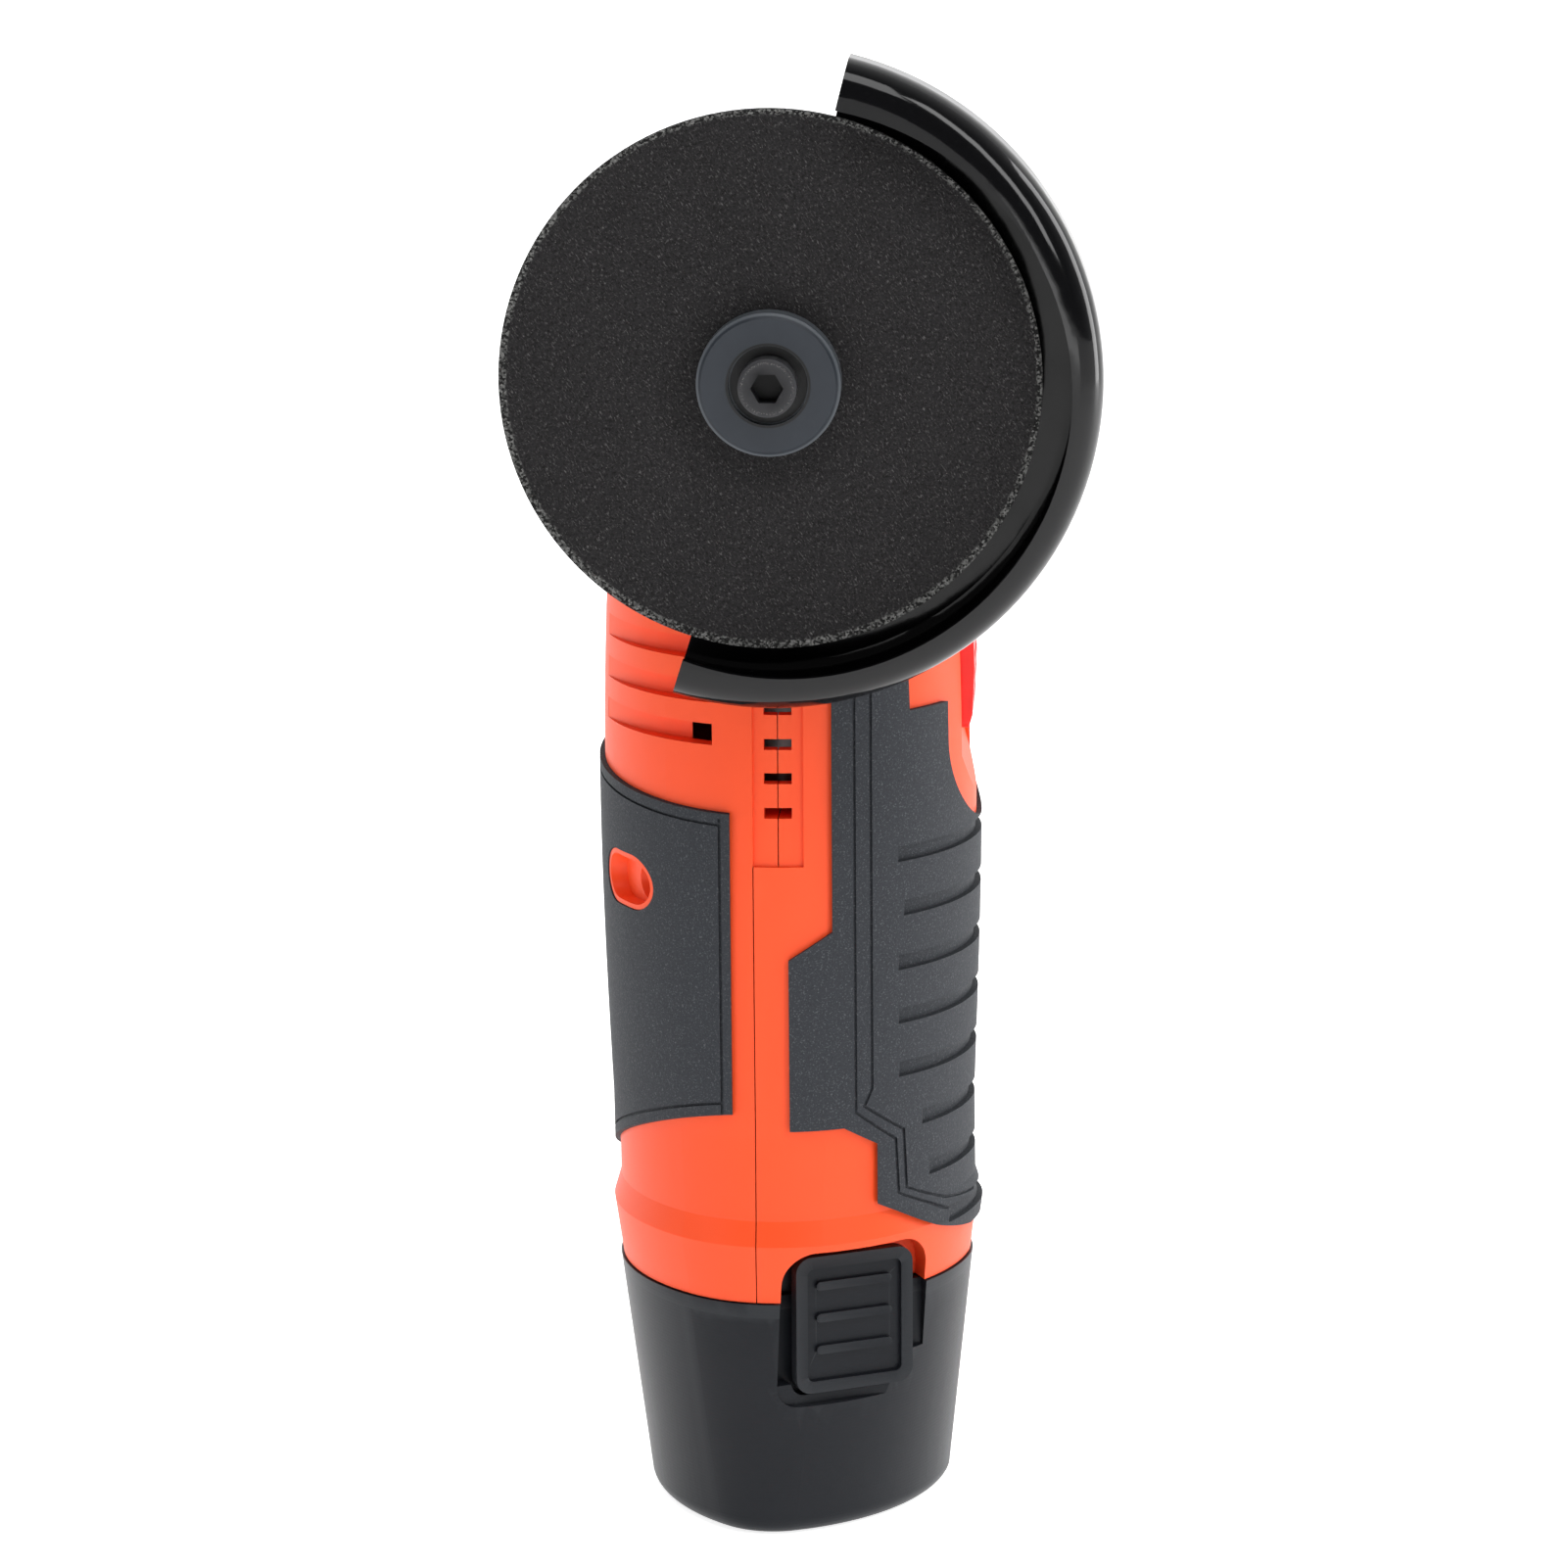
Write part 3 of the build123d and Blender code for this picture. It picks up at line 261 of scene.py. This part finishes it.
def abrasive(name):
    """Resin-bonded fibre face with short slanted fibres, and a gritty rim."""
    g = Graph(name)
    strokes = g.noise(1.0, 2, 0.5, g.stretch((1700, 1700, 4600), FIBRE_LEAN))
    patches = g.fade(g.noise(900, 3, 0.7), 0.38, 0.62)
    # Hollows in the face, which get painted shade and a bump.
    hollow_painted_shade = g.fade(g.noise(2600, 3, 0.7), 0.50, 0.36)
    face = fibre_face(g, strokes, patches, hollow_painted_shade)

    from_axis = g.radius(tuple(SPINDLE + RIM_OFF_CENTRE))
    wander = g.math("MULTIPLY", g.noise(1500, 3), RIM_WANDER)
    ragged = g.math("ADD", from_axis, wander)
    rim = g.fade(ragged, *(DISC_R - inset for inset in RIM_INSET))
    grain = g.node("ShaderNodeSeparateColor")
    g.put(g.cells(RIM_GRAINS, "Color"), grain.inputs[0])
    pale = g.fade(grain.outputs[0], 0.35, 1.0)
    chips = g.blend(pale, (0.010, 0.010, 0.010), (0.17, 0.17, 0.165))

    g.set(Base_Color=g.blend(rim, face, chips))
    g.set(Roughness=g.spread(patches, 0.75, 0.95), Specular_IOR_Level=0.15)
    rim_height = g.math("MULTIPLY", g.cells(RIM_GRAINS), rim)
    hollows = g.bump(hollow_painted_shade, 0.5, 0.12 * MM)
    fibres = g.bump(strokes, 0.6, 0.12 * MM, hollows)
    g.set(Normal=g.bump(rim_height, 0.8, 0.2 * MM, fibres))
    return g.material


# Radii on the flange, from the screw's well outwards.
WELL_EDGE = (5.55 * MM, 5.40 * MM)
LIP = (5.42 * MM, 5.60 * MM)
GROOVE = (5.60 * MM, 5.95 * MM)
FLANGE_CORNER = (FLANGE_R - 0.35 * MM, FLANGE_R + 1 * MM)
TURNING_MARKS = 42000  # radians per metre, so one mark every 0.15 mm


def coated_flange(name):
    """Satin blue-grey coating with painted highlights on its lip and outer corner, and
    painted shade in its well and groove.
    """
    g = Graph(name)
    radius = g.radius(tuple(SPINDLE))
    # Painted highlight: pale rings on the outer corner and on the well's lip.
    corner = g.math("MULTIPLY", g.ring(radius, *FLANGE_CORNER, 0.08 * MM), 0.30)
    lip = g.math("MULTIPLY", g.ring(radius, *LIP, 0.04 * MM), 0.25)
    groove = g.ring(radius, *GROOVE, 0.05 * MM)
    painted_highlight = g.math("MAXIMUM", corner, lip)
    mottle = g.noise(500, 4)
    coat = g.blend(mottle, (0.015, 0.019, 0.026), (0.022, 0.027, 0.035))
    # Painted shade: the well inside its edge and the groove are coloured near black.
    painted_shade = g.math("MAXIMUM", g.fade(radius, *WELL_EDGE), groove)
    coat = g.blend(painted_shade, coat, (0.003, 0.003, 0.0035))
    g.set(Base_Color=g.blend(painted_highlight, coat, (0.22, 0.24, 0.26)))
    g.set(Metallic=0.1, Roughness=g.spread(mottle, 0.36, 0.48), Specular_IOR_Level=0.4)
    turning = g.math("SINE", g.math("MULTIPLY", radius, TURNING_MARKS))
    skin = g.bump(g.noise(3000, 3), 0.2, 0.02 * MM)
    g.set(Normal=g.bump(turning, 0.08, 0.03 * MM, skin))
    return g.material


def metal(name, colour, rough=(0.25, 0.4), grain=(60, 60, 2400)):
    """Turned or brushed metal, streaked along one direction."""
    g = Graph(name)
    streak = g.noise(1.0, 4, 0.6, g.stretch(grain))
    base = g.blend(g.spread(streak, 0, 0.5), colour, darker(colour, 0.7))
    worn = g.math("MULTIPLY", g.edges(*METAL_EDGE), 0.3)
    g.set(Base_Color=g.blend(worn, base, (0.75, 0.75, 0.74)))
    g.set(Metallic=0.95, Roughness=g.spread(streak, *rough))
    g.set(Normal=g.bump(streak, 0.15, 0.03 * MM))
    return g.material


HEAD_GLINT_RING = (3.45 * MM, 3.75 * MM)  # radii of the ring of painted glints on the screw's head


def black_oxide(name):
    """Blackened steel with painted glints in flecks around the head, worn paler along
    its edges.
    """
    g = Graph(name)
    mottle = g.noise(900, 4)
    base = g.blend(mottle, (0.004, 0.004, 0.0045), (0.009, 0.009, 0.010))
    # Painted glints: pale flecks in a ring around the head.
    flecks = g.fade(g.noise(3800, 3, 0.6), 0.52, 0.66)
    head = g.ring(g.radius(tuple(SPINDLE)), *HEAD_GLINT_RING, 0.1 * MM)
    painted_highlight = g.math("MULTIPLY", g.math("MULTIPLY", head, flecks), 0.7)
    base = g.blend(painted_highlight, base, (0.20, 0.19, 0.18))
    worn = g.math("MULTIPLY", g.edges(*SCREW_EDGE), 0.35)
    g.set(Base_Color=g.blend(worn, base, (0.16, 0.16, 0.17)))
    g.set(Metallic=0.0, Roughness=g.spread(mottle, 0.30, 0.42), Specular_IOR_Level=0.16)
    g.set(Normal=g.bump(g.noise(2500, 3), 0.15, 0.02 * MM))
    return g.material


def cast_case(name):
    """Black-coated die casting with a fine sandy skin."""
    g = Graph(name)
    sand = g.noise(2800, 4, 0.65)
    base = g.blend(g.noise(80, 3), (0.018, 0.018, 0.019), (0.030, 0.030, 0.032))
    worn = g.math("MULTIPLY", g.edges(*MOULDED_EDGE), 0.3)
    g.set(Base_Color=g.blend(worn, base, (0.35, 0.35, 0.36)))
    g.set(Metallic=0.3, Roughness=g.spread(sand, 0.42, 0.6))
    g.set(Normal=g.bump(sand, 0.45, 0.06 * MM))
    return g.material


def satin_pack(name):
    """Satin black moulding with faint level lines left by the mould."""
    g = Graph(name)
    lines = g.node("ShaderNodeTexWave", bands_direction="Z")
    g.put(g.place, lines.inputs["Vector"])
    for key, value in (("Scale", 620), ("Distortion", 0.6), ("Detail Scale", 3.0)):
        lines.inputs[key].default_value = value
    fine = g.noise(2400, 4, 0.6)
    base = g.blend(g.noise(70, 3), (0.008, 0.0095, 0.0125), (0.012, 0.0135, 0.017))
    worn = g.math("MULTIPLY", g.edges(*MOULDED_EDGE), 0.22)
    g.set(Base_Color=g.blend(worn, base, (0.07, 0.075, 0.08)))
    g.set(Roughness=g.spread(fine, 0.32, 0.42), Specular_IOR_Level=0.15)
    skin = g.bump(fine, 0.3, 0.03 * MM)
    g.set(Normal=g.bump(lines.outputs["Fac"], 0.10, 0.04 * MM, skin))
    return g.material


SMOOTH = (0.3, 0.4)  # roughness
MATERIALS = {
    "orange_plastic": moulded(
        "orange_moulding", (0.92, 0.082, 0.016), (0.84, 0.064, 0.011)
    ),
    "grip_rubber": speckled_rubber(
        "speckled_rubber", (0.029, 0.032, 0.038), (0.13, 0.135, 0.145)
    ),
    "dark_steel": metal("dark_zinc", (0.10, 0.10, 0.11), (0.3, 0.45)),
    "red_plastic": moulded(
        "red_moulding", (0.86, 0.022, 0.016), (0.76, 0.016, 0.012), SMOOTH
    ),
    "black_plastic": moulded(
        "black_moulding", (0.022, 0.022, 0.024), (0.016, 0.016, 0.017)
    ),
    "circuit_board": moulded(
        "solder_mask", (0.015, 0.14, 0.05), (0.012, 0.10, 0.04), SMOOTH
    ),
    "bright_steel": metal("turned_steel", (0.62, 0.62, 0.60)),
    "copper_wire": metal(
        "copper_wire", (0.72, 0.30, 0.13), (0.25, 0.35), (60, 60, 3400)
    ),
    "case_metal": cast_case("cast_case"),
    "flange_metal": coated_flange("coated_flange"),
    "disc_abrasive": abrasive("bonded_fibre"),
    "black_screw": black_oxide("black_oxide"),
    "guard_paint": gloss_paint("gloss_black_paint", (0.003, 0.003, 0.0035)),
    "pack_plastic": satin_pack("satin_black_moulding"),
    "cell_sleeve": moulded(
        "shrink_sleeve", (0.03, 0.16, 0.42), (0.02, 0.12, 0.34), (0.25, 0.35)
    ),
    "contact_brass": metal("plated_brass", (0.80, 0.60, 0.26)),
}

for part in frame["record"]["subparts"]:
    mesh = nodes[part["node"]].data
    mesh.materials.clear()
    mesh.materials.append(MATERIALS[part["material_slot"]])


def smooth_object(made, name, material):
    """Smooth-shaded object of a bmesh's faces, in one material."""
    mesh = bpy.data.meshes.new(name)
    made.to_mesh(mesh)
    made.free()
    for face in mesh.polygons:
        face.use_smooth = True
    mesh.materials.append(material)
    piece = bpy.data.objects.new(name, mesh)
    scene.collection.objects.link(piece)
    return piece


# ---- cast bosses on the flanks of the gear case ---------------------------
BOSS_HALF_WIDTH = 2.5 * MM
BOSS_HALF_HEIGHT = 6.9 * MM
BOSS_STRAIGHT = BOSS_HALF_HEIGHT - BOSS_HALF_WIDTH
BOSS_POINTS = 36
# Where the foot stands on the case's rounded flank, and how far the boss is turned
# from facing sideways towards facing back.
BOSS_X = 15.1 * MM
BOSS_Y = 11.8 * MM
BOSS_TURN = math.radians(32.4)
# Inset from the outline and lift above the casting, in mm, from root to crown.
BOSS_STEPS = ((0.0, -0.9), (0.0, 0.35), (0.10, 0.55), (0.32, 0.66), (0.9, 0.70))


def flank_boss(name, side):
    """Upright rounded boss; side is -1 for -X and 1 for +X."""
    outward = Vector((side * math.cos(BOSS_TURN), math.sin(BOSS_TURN), 0))
    along = Vector((-side * math.sin(BOSS_TURN), math.cos(BOSS_TURN), 0))
    foot = Vector((side * BOSS_X, BOSS_Y, SPINDLE.z))
    made = bmesh.new()
    rings = []
    for inset, lift in BOSS_STEPS:
        radius = BOSS_HALF_WIDTH - inset * MM
        ring = []
        for step in range(BOSS_POINTS):
            a = math.radians(360 / BOSS_POINTS * (step + 0.5))
            rise = radius * math.sin(a) + math.copysign(BOSS_STRAIGHT, math.sin(a))
            flat = along * radius * math.cos(a) + Vector((0, 0, rise))
            ring.append(made.verts.new(foot + outward * lift * MM + flat))
        rings.append(ring)
    for low, high in zip(rings, rings[1:]):
        for k in range(BOSS_POINTS):
            after = (k + 1) % BOSS_POINTS
            made.faces.new((low[k], low[after], high[after], high[k]))
    made.faces.new(rings[-1])
    made.faces.new(list(reversed(rings[0])))
    bmesh.ops.recalc_face_normals(made, faces=made.faces)
    boss = smooth_object(made, name, MATERIALS["case_metal"])
    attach(boss, "housing")


flank_boss("gear_case_boss_left", -1)
flank_boss("gear_case_boss_right", 1)

# ---- floor ----------------------------------------------------------------
FLOOR_REACH = 12.0
SWEEP_Y = 0.5 * FLOOR_REACH
SWEEP_R = 1.2
SWEEP_STEPS = 12
FLOOR_GLOW = 0.8  # keeps the floor as pale as the background above it


def backdrop():
    """Pale floor that sweeps up behind the object."""
    profile = [(-FLOOR_REACH, 0.0), (SWEEP_Y, 0.0)]
    for step in range(1, SWEEP_STEPS + 1):
        a = math.radians(90 * step / SWEEP_STEPS)
        y = SWEEP_Y + SWEEP_R * math.sin(a)
        profile.append((y, SWEEP_R * (1 - math.cos(a))))
    profile.append((SWEEP_Y + SWEEP_R, FLOOR_REACH))
    made = bmesh.new()
    rows = []
    for y, z in profile:
        rows.append([made.verts.new((x, y, z)) for x in (-FLOOR_REACH, FLOOR_REACH)])
    for low, high in zip(rows, rows[1:]):
        made.faces.new((low[0], low[1], high[1], high[0]))
    g = Graph("pale_floor")
    pale = g.blend(g.noise(6, 3), (0.90, 0.90, 0.90), (0.93, 0.93, 0.93))
    g.set(Base_Color=pale, Roughness=0.6)
    g.set(Emission_Color=(1, 1, 1, 1), Emission_Strength=FLOOR_GLOW)
    floor = smooth_object(made, "floor", g.material)


backdrop()

# ---- light ----------------------------------------------------------------
# The sky brightens smoothly along +Y, from behind the camera to behind the object.
SKY_SPAN = (-0.45, 0.85)
SKY_STRENGTH = (0.08, 0.95)
TARGET = Vector((0, -0.010, 0.111))
# Name, azimuth and elevation in degrees, then distance, width, height and watts.
LAMPS = (
    ("key_right", 50, 36, 1.1, 0.20, 0.80, 3.7),
    ("fill_left", -55, 22, 1.2, 0.22, 0.90, 1.7),
    ("top", 8, 62, 1.1, 0.70, 0.42, 4.6),
    ("rim_right", 108, 14, 1.1, 0.35, 1.00, 7.0),
    ("rim_left", -118, 14, 1.2, 0.40, 1.00, 1.4),
    ("low_front", 24, -2, 1.3, 0.90, 0.10, 0.8),
)


def studio_sky():
    world = bpy.data.worlds.new("studio")
    scene.world = world
    world.use_nodes = True
    sky = world.node_tree
    direction = sky.nodes.new("ShaderNodeTexCoord").outputs["Generated"]
    axes = sky.nodes.new("ShaderNodeSeparateXYZ")
    level = sky.nodes.new("ShaderNodeMapRange")
    level.interpolation_type = "SMOOTHSTEP"
    for side, ends in (("From", SKY_SPAN), ("To", SKY_STRENGTH)):
        level.inputs[side + " Min"].default_value = ends[0]
        level.inputs[side + " Max"].default_value = ends[1]
    background = sky.nodes["Background"]
    background.inputs["Color"].default_value = (1, 1, 1, 1)
    sky.links.new(direction, axes.inputs[0])
    sky.links.new(axes.outputs["Y"], level.inputs["Value"])
    sky.links.new(level.outputs[0], background.inputs["Strength"])


def outwards(azimuth, elevation):
    """Unit vector away from the object; azimuth runs from -Y towards +X."""
    a, e = math.radians(azimuth), math.radians(elevation)
    return Vector((math.sin(a) * math.cos(e), -math.cos(a) * math.cos(e), math.sin(e)))


def softbox(name, azimuth, elevation, distance, width, height, power):
    """Rectangular lamp aimed at the object."""
    away = outwards(azimuth, elevation)
    data = bpy.data.lights.new(name, "AREA")
    data.shape = "RECTANGLE"
    data.size, data.size_y, data.energy = width, height, power
    lamp = bpy.data.objects.new(name, data)
    scene.collection.objects.link(lamp)
    lamp.location = TARGET + away * distance
    lamp.rotation_euler = away.to_track_quat("Z", "Y").to_euler()


studio_sky()
for lamp in LAMPS:
    softbox(*lamp)

# ---- camera ---------------------------------------------------------------
AZIMUTH = 3.5
ELEVATION = 13.0
ROLL = 0.4
DISTANCE = 0.9
AIM = Vector((-0.16 * MM, TARGET.y, 0.11125))


def studio_camera():
    data = bpy.data.cameras.new("camera")
    data.sensor_width = 36.0
    data.lens = 141.3
    data.clip_start = 0.05
    camera = bpy.data.objects.new("camera", data)
    scene.collection.objects.link(camera)
    back = outwards(AZIMUTH, ELEVATION)
    a, roll = math.radians(AZIMUTH), math.radians(ROLL)
    sideways = Vector((math.cos(a), math.sin(a), 0))
    upright = back.cross(sideways)
    right = sideways * math.cos(roll) - upright * math.sin(roll)
    up = upright * math.cos(roll) + sideways * math.sin(roll)
    turn = Matrix((right, up, back)).transposed().to_4x4()
    camera.matrix_world = Matrix.Translation(AIM + back * DISTANCE) @ turn
    return camera


scene.camera = studio_camera()
scene.view_settings.view_transform = "Standard"
